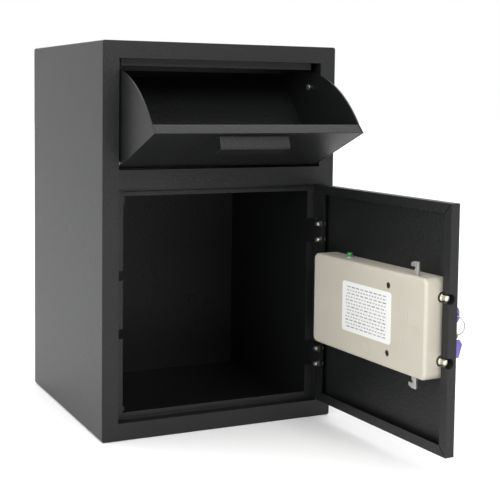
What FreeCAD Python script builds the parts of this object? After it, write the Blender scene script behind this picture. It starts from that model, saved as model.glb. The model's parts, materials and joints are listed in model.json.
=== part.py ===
import FreeCAD, Part
import os
import re
import Sketcher

# Parcel drop box: a sheet-steel cabinet with a tipping hopper above a side-hinged
# door that carries an electronic lock.  Millimetres, +Z up, +X to the right of a
# person facing the box, +Y into the box.  The origin is the centre of the base.

doc = FreeCAD.newDocument("ParcelDropBox")
sizes = doc.addObject("Spreadsheet::Sheet", "Sizes")

# ---------------------------------------------------------------- driving sizes
DRIVING = {
    # cabinet
    "cabinet_width": 325, "cabinet_depth": 320, "cabinet_height": 500,
    "sheet": 2, "corner_radius": 3,
    "stile_width": 21.5, "top_rail": 21.5, "middle_rail": 23.5, "door_sill": 22,
    "hopper_opening": 137.5, "door_jamb_depth": 14.5, "hopper_jamb_depth": 20,
    "stop_width": 10, "stop_gap": 0.5, "stop_groove": 3,
    "anchor_hole": 10, "anchor_inset_x": 70.5, "anchor_inset_z": 111,
    # door and its hinges
    "door_gap": 1.5, "hinge_gap": 2.8, "door_thickness": 12, "lip_width": 12, "mitre_gap": 0.6,
    "hinge_setback": 5.2, "hinge_depth": 5.9, "door_open": 93,
    "hinge_inset": 63.5, "arm_height": 30, "arm_thickness": 2.5, "arm_reach": 20,
    "pin_diameter": 4, "eye_radius": 3.4, "running_gap": 0.05, "part_gap": 0.5,
    "hinge_screw": 5, "hinge_screw_pitch": 21, "hinge_screw_inset": 15.2,
    "nut_width": 8, "nut_height": 4,
    # hopper
    "hopper_gap": 2.5, "hopper_side_gap": 2, "hopper_thickness": 13.5,
    "hopper_hinge_rise": 8, "hopper_hinge_depth": 5, "hopper_open": 69,
    "hopper_pin": 5, "header_drop": 9, "top_slant": 6.5,
    "tray_length": 143, "tray_angle": 110, "side_radius": 185,
    "limit_height": 98, "bumper_radius": 4.5, "limit_pin": 4,
    "handle_width": 92, "handle_offset": 8.5, "handle_drop": 8, "handle_reach": 17,
    "handle_lip": 20, "handle_flange": 16, "handle_corner": 5, "handle_fold": 2.4,
    "baffle_depth": 118, "baffle_drop": 32,
    # lock module on the inside of the door
    "lock_height": 148, "cover_height": 118, "cover_depth": 30.5, "cover_wall": 2.5,
    "cover_free_inset": 16.1, "cover_hinge_inset": 21.6, "cover_corner": 8,
    "cover_edge": 4, "base_plate": 1.5,
    "bolt_pitch": 74, "bolt_body": 10, "bolt_nose": 7.5, "bolt_nose_length": 7,
    "bolt_setback": 13.1, "bolt_length": 32, "bolt_below_lip": 2.7,
    "bolt_travel": 17, "bolt_clearance": 1, "carriage_plate": 2,
    "carriage_from_skin": 13.5, "boss_length": 12,
    "knob_inset": 80, "crank_throw": 12.02, "crank_pin": 5, "spindle": 8,
    "knob_diameter": 36, "knob_height": 18,
    "lug_height": 16, "lug_width": 8, "lug_thickness": 3, "lug_inset": 47, "lug_crank": 5,
    "label_width": 104, "label_height": 63, "label_inset": 134, "label_rise": 1.5,
    "label_thickness": 0.3,
    "cover_screw": 4, "cover_screw_pitch": 82, "cover_screw_inset": 89,
    "button_inset": 194, "button_diameter": 8,
    "solenoid_width": 14, "solenoid_height": 14, "plunger_diameter": 4, "cell_diameter": 14.4,
    "cell_length": 50.5,
    # lock panel on the outside of the door
    "panel_width": 170, "panel_height": 92, "panel_depth": 13, "panel_corner": 12,
    "panel_inset": 18, "key_pitch_x": 20, "key_pitch_z": 17, "key_width": 15,
    "key_height": 12, "key_proud": 1.5, "key_gap": 0.4, "keypad_inset": 152,
    # emergency key
    "cylinder_inset": 47.6, "cylinder_rise": 7, "cylinder_diameter": 17,
    "plug_diameter": 11, "key_shank": 5, "key_head_size": 22, "key_thickness": 3,
    "ring_radius": 11.5, "ring_wire": 0.7, "ring_turn": 35, "spare_turn": 40,
    "ring_hole": 3.2, "blade_length": 35, "blade_thickness": 2,
}
for row, (alias, number) in enumerate(DRIVING.items(), start=1):
    sizes.set("A%d" % row, alias.replace("_", " "))
    sizes.set("B%d" % row, str(number))
    sizes.setAlias("B%d" % row, alias)
doc.recompute()

# ------------------------------------------------- places worked out from them
# Cabinet frame.
FRONT = "(-cabinet_depth / 2)"
BACK = "(cabinet_depth / 2)"
HALF_WIDTH = "(cabinet_width / 2)"
HALF_OPENING = "(cabinet_width / 2 - stile_width)"
HOPPER_TOP = "(cabinet_height - top_rail)"
HOPPER_SILL = "(cabinet_height - top_rail - hopper_opening)"
DOOR_HEAD = "(cabinet_height - top_rail - hopper_opening - middle_rail)"
STOP_FRONT = f"({FRONT} + door_thickness + stop_gap)"
STOP_BACK = f"({FRONT} + door_thickness + stop_gap + sheet)"
LOCK_Z = "(door_sill + lock_height)"
BOLT_HALF = "(bolt_pitch / 2)"
BOLT_HOLE = "(bolt_body / 2 + bolt_clearance)"
HINGE_HEIGHTS = ("(door_sill + hinge_inset)", f"({DOOR_HEAD} - hinge_inset)")
CUTOUT_HALF = "(arm_height / 2 + 3 * part_gap)"

# Door frame: measured from the hinge axis with the door shut.
AXIS_X = f"({HALF_OPENING} + hinge_setback)"
AXIS_Y = f"({FRONT} + hinge_depth)"
HINGE_EDGE = "(-hinge_setback - hinge_gap)"
FREE_EDGE = f"(-hinge_setback - 2 * {HALF_OPENING} + door_gap)"
SKIN_OUT = "(-hinge_depth)"
SKIN_IN = "(-hinge_depth + sheet)"
LIP_IN = "(-hinge_depth + door_thickness)"
DOOR_BOTTOM = "(door_sill + door_gap)"
DOOR_TOP = f"({DOOR_HEAD} - door_gap)"
COVER_FREE = f"({FREE_EDGE} + cover_free_inset)"
COVER_HINGE = f"({HINGE_EDGE} - cover_hinge_inset)"
COVER_FACE = f"({SKIN_IN} + cover_depth)"
COVER_TOP = f"({LOCK_Z} + cover_height / 2)"
COVER_BOTTOM = f"({LOCK_Z} - cover_height / 2)"
BOLT_Y = f"({LIP_IN} - bolt_below_lip)"
CARRIAGE_Y = (f"max({SKIN_IN} + carriage_from_skin;"
              f" {BOLT_Y} + bolt_body / 2 + 2.4 * part_gap)")
BOLT_FRONT = f"({FREE_EDGE} + bolt_setback)"
BOLT_REAR = f"({FREE_EDGE} + bolt_setback + bolt_length)"
KNOB_X = f"({FREE_EDGE} + knob_inset)"
PANEL_FACE = f"({SKIN_OUT} - panel_depth)"
PANEL_FREE = f"({FREE_EDGE} + panel_inset)"
CYLINDER_X = f"({FREE_EDGE} + cylinder_inset)"
CYLINDER_Z = f"({LOCK_Z} + cylinder_rise)"
LUG_X = f"({FREE_EDGE} + lug_inset)"
LUG_Y = f"({CARRIAGE_Y} + carriage_plate + lug_crank - lug_thickness / 2)"
CARRIAGE_REAR = f"({KNOB_X} + crank_throw + 2 * crank_pin)"
HOLD_X = f"({CARRIAGE_REAR} - bolt_travel + plunger_diameter / 2 + part_gap)"
HOLD_Z = f"({LOCK_Z} + crank_throw + crank_pin + 2 * part_gap + sheet)"

# Hopper frame: measured from its hinge axis with the hopper shut.
HOPPER_Y = f"({FRONT} + hopper_hinge_depth)"
HOPPER_Z = f"({HOPPER_SILL} + hopper_hinge_rise)"
PAN_FACE = "(-hopper_hinge_depth)"
PAN_BACK = "(hopper_thickness - hopper_hinge_depth)"
PAN_BOTTOM = "(hopper_gap - hopper_hinge_rise)"
PAN_TOP = "(hopper_opening - hopper_gap - hopper_hinge_rise)"
PLATE_OUT = f"({HALF_OPENING} - hopper_side_gap)"
PLATE_IN = f"({HALF_OPENING} - hopper_side_gap - sheet)"
TRAY_Y = "(tray_length * sin(tray_angle))"
TRAY_Z = "(tray_length * cos(tray_angle))"
LIMIT_REACH = "(hopper_jamb_depth - hopper_hinge_depth + bumper_radius + part_gap)"
LIMIT_Y = f"({LIMIT_REACH} * cos(hopper_open) + limit_height * sin(hopper_open))"
LIMIT_Z = f"(limit_height * cos(hopper_open) - {LIMIT_REACH} * sin(hopper_open))"

# --------------------------------------------------------------- building tools
made = {}


def ref(expression):
    """Point every named size in an expression at its cell."""
    def cell(match):
        word = match.group(0)
        return "Sizes." + word if word in DRIVING else word
    return re.sub(r"[a-z][a-z_]*", cell, str(expression))


def number(expression):
    result = sizes.evalExpression(ref(expression))
    return float(getattr(result, "Value", result))


def bind(thing, field, expression):
    thing.setExpression(field, ref(expression))


def place(thing, x=0, y=0, z=0):
    for field, expression in (("x", x), ("y", y), ("z", z)):
        bind(thing, "Placement.Base." + field, expression)
    return thing


def turn(thing, axis, angle):
    thing.Placement.Rotation = FreeCAD.Rotation(FreeCAD.Vector(*axis), 10)
    bind(thing, "Placement.Rotation.Angle", angle)
    return thing


def box(x_span, y_span, z_span):
    thing = doc.addObject("Part::Box", "Block")
    for field, span in (("Length", x_span), ("Width", y_span), ("Height", z_span)):
        bind(thing, field, f"({span[1]}) - ({span[0]})")
    return place(thing, x_span[0], y_span[0], z_span[0])


def rod(axis, centre, radius, span):
    """A cylinder along X, Y or Z: centre gives its other two coordinates."""
    thing = doc.addObject("Part::Cylinder", "Rod")
    bind(thing, "Radius", radius)
    bind(thing, "Height", f"({span[1]}) - ({span[0]})")
    if axis == "X":
        thing.Placement.Rotation = FreeCAD.Rotation(FreeCAD.Vector(0, 1, 0), 90)
        return place(thing, span[0], centre[0], centre[1])
    if axis == "Y":
        thing.Placement.Rotation = FreeCAD.Rotation(FreeCAD.Vector(1, 0, 0), -90)
        return place(thing, centre[0], span[0], centre[1])
    return place(thing, centre[0], centre[1], span[0])


def fuse(*things):
    joined = doc.addObject("Part::MultiFuse", "Joined")
    joined.Shapes = list(things)
    joined.Refine = True
    return joined


def cut(base, *tools):
    tool = tools[0] if len(tools) == 1 else fuse(*tools)
    left = doc.addObject("Part::Cut", "Cut")
    left.Base = base
    left.Tool = tool
    left.Refine = True
    return left


PLANES = {"XY": "XY_Plane", "XZ": "XZ_Plane", "YZ": "YZ_Plane"}


def draw(body, plane, outline, offset):
    """A closed outline, drawn anticlockwise.  Each corner is (u, v), or (u, v, radius)
    where the side that leads to it is an arc that bulges outward."""
    sketch = body.newObject("Sketcher::SketchObject", "Outline")
    datum = [f for f in body.Origin.OriginFeatures if f.Role == PLANES[plane]][0]
    sketch.AttachmentSupport = [(datum, "")]
    sketch.MapMode = "FlatFace"
    bind(sketch, "AttachmentOffset.Base.z", offset)
    corners = [FreeCAD.Vector(number(c[0]), number(c[1]), 0) for c in outline]
    count = len(corners)
    for index, corner in enumerate(outline):
        start = corners[index - 1]
        end = corners[index]
        if len(corner) == 3:
            radius = number(corner[2])
            chord = end - start
            left = FreeCAD.Vector(-chord.y, chord.x, 0).normalize()
            rise = (radius ** 2 - (chord.Length / 2) ** 2) ** 0.5
            middle = (start + end) / 2 + left * (rise - radius)
            sketch.addGeometry(Part.Arc(start, middle, end), False)
        else:
            sketch.addGeometry(Part.LineSegment(start, end), False)
    for index, corner in enumerate(outline):
        following = (index + 1) % count
        end_point = end_of(sketch, index, corners[index])
        start_point = end_of(sketch, following, corners[index])
        join = Sketcher.Constraint("Coincident", index, end_point, following, start_point)
        sketch.addConstraint(join)
        for kind, place_expression, at in (("DistanceX", corner[0], corners[index].x),
                                           ("DistanceY", corner[1], corners[index].y)):
            rule = Sketcher.Constraint(kind, -1, 1, index, end_point, at)
            held = sketch.addConstraint(rule)
            bind(sketch, "Constraints[%d]" % held, place_expression)
        if len(corner) == 3:
            rule = Sketcher.Constraint("Radius", index, number(corner[2]))
            held = sketch.addConstraint(rule)
            bind(sketch, "Constraints[%d]" % held, corner[2])
    return sketch


def end_of(sketch, index, corner):
    """Which end of a side lies on a corner: 1 its start, 2 its end."""
    return 1 if (sketch.getPoint(index, 1) - corner).Length < 1e-6 else 2


def prism(plane, outline, span):
    """A padded outline from span[0] to span[1] along the plane's own axis."""
    body = doc.addObject("PartDesign::Body", "Body")
    # The XZ plane faces -Y, so a pad off it runs from the far end of the span.
    offset = f"-({span[1]})" if plane == "XZ" else span[0]
    pad = body.newObject("PartDesign::Pad", "Pad")
    pad.Profile = draw(body, plane, outline, offset)
    bind(pad, "Length", f"({span[1]}) - ({span[0]})")
    body.Tip = pad
    return body


def round_edges(body, radius, chosen, kind="Fillet"):
    """Round or bevel the edges of a body whose middle point passes the test."""
    doc.recompute()
    base = body.Tip
    names = []
    for position, edge in enumerate(base.Shape.Edges, start=1):
        middle = edge.valueAt((edge.FirstParameter + edge.LastParameter) / 2)
        if chosen(edge, middle):
            names.append("Edge%d" % position)
    feature = body.newObject("PartDesign::" + kind, kind)
    feature.Base = (base, names)
    bind(feature, "Radius" if kind == "Fillet" else "Size", radius)
    body.Tip = feature
    return body


def rounded(x_span, z_span, y_span, corner):
    """A plate in the XZ plane whose four corners are rounded."""
    outline = []
    low_x, high_x = (f"({value})" for value in x_span)
    low_z, high_z = (f"({value})" for value in z_span)
    outline.append((f"{high_x} - {corner}", low_z))
    outline.append((high_x, f"{low_z} + {corner}", corner))
    outline.append((high_x, f"{high_z} - {corner}"))
    outline.append((f"{high_x} - {corner}", high_z, corner))
    outline.append((f"{low_x} + {corner}", high_z))
    outline.append((low_x, f"{high_z} - {corner}", corner))
    outline.append((low_x, f"{low_z} + {corner}"))
    outline.append((f"{low_x} + {corner}", low_z, corner))
    return prism("XZ", outline, y_span)


def node(label, *pieces):
    """One named sub-part: its separate solids and nothing else."""
    part = doc.addObject("Part::Compound", label)
    part.Label = label
    part.Links = list(pieces)
    made[label] = part
    return part


def door_node(label, *pieces):
    """A sub-part drawn on the shut door and swung open with it."""
    part = node(label, *pieces)
    place(part, AXIS_X, AXIS_Y, 0)
    return turn(part, (0, 0, 1), "door_open")


def hopper_node(label, *pieces):
    """A sub-part drawn on the shut hopper and tipped open with it."""
    part = node(label, *pieces)
    place(part, 0, HOPPER_Y, HOPPER_Z)
    return turn(part, (1, 0, 0), "hopper_open")


# --------------------------------------------------------------------- cabinet
def build_shell():
    """Sides, top and floor, folded from one sheet into a tube with round corners."""
    y_span = (f"{FRONT} + sheet", BACK)
    outer = rounded((f"-{HALF_WIDTH}", HALF_WIDTH), (0, "cabinet_height"), y_span,
                    "corner_radius")
    inner = box((f"-{HALF_WIDTH} + sheet", f"{HALF_WIDTH} - sheet"),
                (FRONT, f"{BACK} + sheet"), ("sheet", "cabinet_height - sheet"))
    node("cabinet_shell", cut(outer, inner))


def build_back():
    """Back panel set inside the shell, with four wall-anchor holes."""
    y_span = (f"{BACK} - sheet", BACK)
    panel = box((f"-{HALF_WIDTH} + sheet", f"{HALF_WIDTH} - sheet"), y_span,
                ("sheet", "cabinet_height - sheet"))
    holes = []
    for side in (-1, 1):
        for height in ("anchor_inset_z", "cabinet_height - anchor_inset_z"):
            centre = (f"{side} * ({HALF_WIDTH} - anchor_inset_x)", height)
            holes.append(rod("Y", centre, "anchor_hole / 2",
                             (f"{BACK} - 2 * sheet", f"{BACK} + sheet")))
    node("back_panel", cut(panel, *holes))


def build_frame():
    """Front face with both openings, each edged by a folded jamb."""
    face = rounded((f"-{HALF_WIDTH}", HALF_WIDTH), (0, "cabinet_height"),
                   (FRONT, f"{FRONT} + sheet"), "corner_radius")
    around = (f"-{HALF_OPENING} - sheet", f"{HALF_OPENING} + sheet")
    within = (f"-{HALF_OPENING}", HALF_OPENING)
    through = (f"{FRONT} - sheet", f"{FRONT} + 2 * hopper_jamb_depth")
    jamb_end = f"max({FRONT} + door_jamb_depth; {STOP_BACK})"
    door_jamb = box(around, (FRONT, jamb_end),
                    ("door_sill - sheet", f"{DOOR_HEAD} + sheet"))
    hopper_rails = box(around, (FRONT, f"{FRONT} + hopper_thickness - 2 * part_gap"),
                       (f"{HOPPER_SILL} - sheet", f"{HOPPER_TOP} + sheet"))
    hopper_jambs = [box((f"{side} * ({HALF_OPENING} + sheet / 2) - sheet / 2",
                         f"{side} * ({HALF_OPENING} + sheet / 2) + sheet / 2"),
                        (FRONT, f"{FRONT} + hopper_jamb_depth"),
                        (f"{HOPPER_SILL} - sheet", f"{HOPPER_TOP} + sheet"))
                    for side in (-1, 1)]
    openings = [box(within, through, ("door_sill", DOOR_HEAD)),
                box(within, through, (HOPPER_SILL, HOPPER_TOP))]
    for side in (-1, 1):
        height = f"{LOCK_Z} + {side} * {BOLT_HALF}"
        openings.append(box((f"-{HALF_OPENING} - 2 * sheet", f"-{HALF_OPENING}"),
                            (f"{AXIS_Y} + {BOLT_Y} - {BOLT_HOLE}", f"{STOP_BACK} + sheet"),
                            (f"{height} - {BOLT_HOLE}", f"{height} + {BOLT_HOLE}")))
    for height in HINGE_HEIGHTS:
        openings.append(box((HALF_OPENING, f"{HALF_OPENING} + 1.5 * sheet"),
                            (f"{FRONT} + sheet", f"{STOP_BACK} + sheet"),
                            (f"{height} - {CUTOUT_HALF}", f"{height} + {CUTOUT_HALF}")))
    for side in (-1, 1):
        openings.append(rod("X", (HOPPER_Y, HOPPER_Z), "hopper_pin / 2",
                            (f"{side} * ({HALF_OPENING} + sheet / 2) - sheet",
                             f"{side} * ({HALF_OPENING} + sheet / 2) + sheet")))
    node("front_frame", cut(fuse(face, door_jamb, hopper_rails, *hopper_jambs), *openings))


def build_stops():
    """Strips welded inside the door jambs: the shut door's lips meet them."""
    y_span = (STOP_FRONT, STOP_BACK)
    z_span = ("door_sill", DOOR_HEAD)
    cut_span = (f"{STOP_FRONT} - sheet", f"{STOP_BACK} + sheet")
    latch = box((f"-{HALF_OPENING}", f"-{HALF_OPENING} + stop_width"), y_span, z_span)
    pads = [box((f"-{HALF_OPENING}", f"-{HALF_OPENING} + 1.2 * stop_width"), y_span, pad_span)
            for pad_span in (("door_sill + 1.2 * stop_width", "door_sill + 1.8 * stop_width"),
                             (f"{DOOR_HEAD} - 1.9 * stop_width", f"{DOOR_HEAD} - stop_width"))]
    notches = []
    for side in (-1, 1):
        height = f"{LOCK_Z} + {side} * {BOLT_HALF}"
        notches.append(box((f"-{HALF_OPENING} - sheet", f"-{HALF_OPENING} + 2 * stop_width"),
                           cut_span, (f"{height} - {BOLT_HOLE}", f"{height} + {BOLT_HOLE}")))
    node("door_stop_latch_side", cut(fuse(latch, *pads), *notches))

    hinge = box((f"{HALF_OPENING} - stop_width", HALF_OPENING), y_span, z_span)
    notches = []
    for height in HINGE_HEIGHTS:
        notches.append(box((f"{HALF_OPENING} - 2 * stop_width", f"{HALF_OPENING} + sheet"),
                           cut_span, (f"{height} - {CUTOUT_HALF}", f"{height} + {CUTOUT_HALF}")))
    node("door_stop_hinge_side", cut(hinge, *notches))

    rails = []
    x_span = (f"-{HALF_OPENING} + stop_width", f"{HALF_OPENING} - stop_width")
    for low, groove in (("door_sill", "door_sill + stop_groove / 2"),
                        (f"{DOOR_HEAD} - stop_width", f"{DOOR_HEAD} - stop_groove * 1.5")):
        rail = box(x_span, y_span, (low, f"{low} + stop_width"))
        bead = box((f"-{HALF_OPENING}", HALF_OPENING),
                   (f"{STOP_FRONT} - sheet", f"{STOP_FRONT} + sheet / 2"),
                   (groove, f"{groove} + stop_groove"))
        rails.append(cut(rail, bead))
    node("door_stop_rails", *rails)


def build_header():
    """Strip behind the hopper's top edge, hung from the frame's top rail."""
    strip = box((f"-{HALF_OPENING} + hopper_side_gap + 2 * sheet + 2 * part_gap",
                 f"{HALF_OPENING} - hopper_side_gap - 2 * sheet - 2 * part_gap"),
                (f"{FRONT} + hopper_thickness + part_gap",
                 f"{FRONT} + hopper_thickness + part_gap + sheet"),
                (f"{HOPPER_TOP} - header_drop", f"{HOPPER_TOP} + 2 * sheet"))
    shelf = box((f"-{HALF_OPENING} + stop_width", f"{HALF_OPENING} - stop_width"),
                (f"{FRONT} + 2 * sheet", f"{FRONT} + hopper_thickness + part_gap + sheet"),
                (f"{HOPPER_TOP} + sheet", f"{HOPPER_TOP} + 2 * sheet"))
    node("hopper_header_strip", fuse(strip, shelf))


def build_baffle():
    """Plate hung from the roof behind the hopper, so that no hand reaches over it."""
    low_z = "cabinet_height - sheet - baffle_drop"
    x_span = (f"-{HALF_WIDTH} + sheet", f"{HALF_WIDTH} - sheet")
    front_y = f"{FRONT} + baffle_depth"
    wall = box(x_span, (front_y, f"{front_y} + sheet"), (low_z, "cabinet_height - sheet"))
    shelf = box(x_span, (front_y, f"{front_y} + 8 * sheet"),
                ("cabinet_height - 2 * sheet", "cabinet_height - sheet"))
    node("anti_fishing_baffle", fuse(wall, shelf))


def build_hinge_seats():
    """Two U brackets inside the hinge stile, each with a fixed pin between its ears."""
    brackets = []
    pins = []
    half = "(arm_height / 2 + part_gap)"
    y_span = (f"{FRONT} + sheet", f"{AXIS_Y} + hinge_depth")
    web = f"{AXIS_X} + 2.5 * eye_radius"
    for height in HINGE_HEIGHTS:
        block = box((f"{HALF_OPENING} + sheet", f"{web} + sheet"), y_span,
                    (f"{height} - {half} - sheet", f"{height} + {half} + sheet"))
        hollow = box((HALF_OPENING, web), (FRONT, f"{AXIS_Y} + 2 * hinge_depth"),
                     (f"{height} - {half}", f"{height} + {half}"))
        bore = rod("Z", (AXIS_X, AXIS_Y), "pin_diameter / 2",
                   (f"{height} - 2 * {half}", f"{height} + 2 * {half}"))
        brackets.append(cut(block, hollow, bore))
        pins.append(rod("Z", (AXIS_X, AXIS_Y), "pin_diameter / 2",
                        (f"{height} - {half} - 1.5 * sheet", f"{height} + {half} + 1.5 * sheet")))
    node("hinge_brackets", *brackets)
    node("hinge_pins", *pins)


def build_hopper_pins():
    """The two short pins that the hopper tips on, fixed in the jambs."""
    pins = []
    for span in ((f"-{PLATE_OUT} - 4 * sheet", f"-{PLATE_IN} - part_gap"),
                 (f"{PLATE_IN} + part_gap", f"{PLATE_OUT} + 4 * sheet")):
        pins.append(rod("X", (HOPPER_Y, HOPPER_Z), "hopper_pin / 2", span))
    node("hopper_pivot_pins", *pins)


# ---------------------------------------------------------------------- hopper
def build_hopper_pan():
    """Front pan folded from sheet; its top edge slopes down to clear the header."""
    def side_view(inset, back):
        slope = "(top_slant / hopper_thickness)"
        top = f"{PAN_TOP} - {slope} * {inset} - {inset}"
        return [(f"{PAN_FACE} + {inset}", f"{PAN_BOTTOM} + {inset}"),
                (back, f"{PAN_BOTTOM} + {inset}"),
                (back, f"{PAN_TOP} - {slope} * ({back} + hopper_hinge_depth) - {inset}"),
                (f"{PAN_FACE} + {inset}", top)]
    outer = prism("YZ", side_view("0", PAN_BACK), (f"-{PLATE_IN}", PLATE_IN))
    hollow = prism("YZ", side_view("sheet", f"({PAN_BACK} + sheet)"),
                   (f"-{PLATE_IN} + sheet", f"{PLATE_IN} - sheet"))
    hopper_node("hopper_front_panel", cut(outer, hollow))
    low = f"{PAN_BOTTOM} + 1.5 * sheet"
    high = f"{PAN_TOP} - top_slant - 1.5 * sheet"
    liner = box((f"-{PLATE_IN} + sheet", f"{PLATE_IN} - sheet"),
                (f"{PAN_BACK} - sheet", PAN_BACK), (low, high))
    hopper_node("hopper_liner", liner)


def side_plate(span):
    """The fan-shaped cheek between the front pan and the tray."""
    outline = [(PAN_FACE, PAN_BOTTOM), (PAN_BACK, PAN_BOTTOM),
               (TRAY_Y, TRAY_Z), (PAN_BACK, f"{PAN_TOP} - top_slant", "side_radius"),
               (PAN_FACE, PAN_TOP)]
    plate = prism("YZ", outline, span)
    bores = [rod("X", ("0", "0"), "hopper_pin / 2 + running_gap",
                 (f"{span[0]} - sheet", f"{span[1]} + sheet")),
             rod("X", (LIMIT_Y, LIMIT_Z), "limit_pin / 2",
                 (f"{span[0]} - sheet", f"{span[1]} + sheet"))]
    return cut(plate, *bores)


def build_hopper_tray():
    """Sloping plate behind the front pan: it sheds the parcel when the hopper shuts."""
    thick = "(0.75 * sheet)"
    outline = [(PAN_BACK, PAN_BOTTOM), (TRAY_Y, TRAY_Z),
               (f"{TRAY_Y} + 0.34 * {thick}", f"{TRAY_Z} + 0.94 * {thick}"),
               (PAN_BACK, f"{PAN_BOTTOM} + 1.06 * {thick}")]
    tray = prism("YZ", outline, (f"-{PLATE_IN}", PLATE_IN))
    hopper_node("hopper_tray", tray)


def build_hopper_handle():
    """Folded pull across the front pan: a flange, a shelf and a finger lip."""
    top = f"({PAN_TOP} - handle_drop)"
    face = PAN_FACE
    nose = f"({PAN_FACE} - handle_reach)"
    outline = [(face, top), (nose, top), (nose, f"{top} - handle_lip"),
               (f"{nose} + sheet", f"{top} - handle_lip"), (f"{nose} + sheet", f"{top} - sheet"),
               (f"{face} - sheet", f"{top} - sheet"), (f"{face} - sheet", f"{top} - handle_flange"),
               (face, f"{top} - handle_flange")]
    span = ("-handle_width / 2 - handle_offset", "handle_width / 2 - handle_offset")
    pull = prism("YZ", outline, span)
    tip = number(f"{top} - handle_lip")
    fold_y, fold_z = number(nose), number(top)

    def lip_corner(edge, middle):
        along_y = abs(edge.tangentAt(edge.FirstParameter).y) > 0.9
        return along_y and abs(middle.z - tip) < 0.01

    def outer_fold(edge, middle):
        return abs(middle.y - fold_y) < 0.01 and abs(middle.z - fold_z) < 0.01
    round_edges(pull, "handle_corner", lip_corner)
    round_edges(pull, "handle_fold", outer_fold)
    hopper_node("hopper_handle", pull)


def build_hopper_limits():
    """Headed pins through the cheeks; their rubber sleeves meet the jambs."""
    pins = []
    sleeves = []
    for side in (-1, 1):
        inner = f"({PLATE_IN} - sheet)"
        outer = f"({HALF_OPENING} + 3 * sheet)"
        ends = {"head": (inner, PLATE_IN), "shank": (PLATE_IN, outer),
                "sleeve": (f"{PLATE_OUT} + part_gap", outer)}
        spans = {name: (low, high) if side > 0 else (f"-{high}", f"-({low})")
                 for name, (low, high) in ends.items()}
        centre = (LIMIT_Y, LIMIT_Z)
        pins.append(fuse(rod("X", centre, "limit_pin", spans["head"]),
                         rod("X", centre, "limit_pin / 2", spans["shank"])))
        sleeves.append(cut(rod("X", centre, "bumper_radius", spans["sleeve"]),
                           rod("X", centre, "limit_pin / 2", spans["shank"])))
    hopper_node("hopper_limit_pins", *pins)
    hopper_node("hopper_bumpers", *sleeves)


# ------------------------------------------------------------------------ door
def lock_holes():
    """What the door skin and the lock's base plate are pierced by."""
    through = (f"{SKIN_OUT} - sheet", f"{SKIN_IN} + 2 * sheet")
    return [rod("Y", (KNOB_X, LOCK_Z), "spindle / 2 + part_gap", through),
            rod("Y", (CYLINDER_X, CYLINDER_Z), "cylinder_diameter / 2 + running_gap", through)]


def build_door():
    """Pan door: skin, folded edges and return lips, mitred at the corners."""
    block = box((FREE_EDGE, HINGE_EDGE), (SKIN_OUT, LIP_IN), (DOOR_BOTTOM, DOOR_TOP))
    cavity = box((f"{FREE_EDGE} + sheet", f"{HINGE_EDGE} - sheet"),
                 (SKIN_IN, f"{LIP_IN} - sheet"),
                 (f"{DOOR_BOTTOM} + sheet", f"{DOOR_TOP} - sheet"))
    window = box((f"{FREE_EDGE} + lip_width", f"{HINGE_EDGE} - lip_width"),
                 (f"{LIP_IN} - 2 * sheet", f"{LIP_IN} + sheet"),
                 (f"{DOOR_BOTTOM} + lip_width", f"{DOOR_TOP} - lip_width"))
    tools = [cavity, window]
    for side in (-1, 1):
        height = f"{LOCK_Z} + {side} * {BOLT_HALF}"
        tools.append(rod("X", (BOLT_Y, height), BOLT_HOLE,
                         (f"{FREE_EDGE} - sheet", f"{FREE_EDGE} + 2 * sheet")))
        tools.append(box((f"{FREE_EDGE} - sheet", f"{FREE_EDGE} + lip_width + sheet"),
                         (f"{LIP_IN} - sheet", f"{LIP_IN} + sheet"),
                         (f"{height} - {BOLT_HOLE}", f"{height} + {BOLT_HOLE}")))
    for x_edge, x_side in ((FREE_EDGE, 1), (HINGE_EDGE, -1)):
        for z_edge, z_side in ((DOOR_BOTTOM, 1), (DOOR_TOP, -1)):
            tools.append(mitre(x_edge, x_side, z_edge, z_side))
    for height in HINGE_HEIGHTS:
        tools.extend(hinge_screw_holes(height))
    door_node("door_panel", cut(block, *tools, *lock_holes()))


def mitre(x_edge, x_side, z_edge, z_side):
    """A hairline gap across one corner of the return lips."""
    start = "(sheet + mitre_gap)"
    finish = "(lip_width + 2 * mitre_gap)"
    half = "(mitre_gap / 2)"
    slope = x_side * z_side
    outline = []
    for reach, turn_side in ((start, -1), (start, 1), (finish, 1), (finish, -1)):
        outline.append((f"{x_edge} + {x_side} * {reach} + {turn_side} * {half}",
                        f"{z_edge} + {z_side} * {reach} - {turn_side * slope} * {half}"))
    return prism("XZ", outline, (f"{LIP_IN} - 1.5 * sheet", f"{LIP_IN} + sheet"))


def hinge_screw_places(height):
    x = "(-hinge_screw_inset)"
    return [(x, f"({height} + {side} * hinge_screw_pitch / 2)") for side in (-1, 1)]


def hinge_screw_holes(height):
    return [rod("Y", centre, "hinge_screw / 2",
                (f"{LIP_IN} - 2 * sheet", f"{LIP_IN} + arm_thickness + sheet"))
            for centre in hinge_screw_places(height)]


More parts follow.
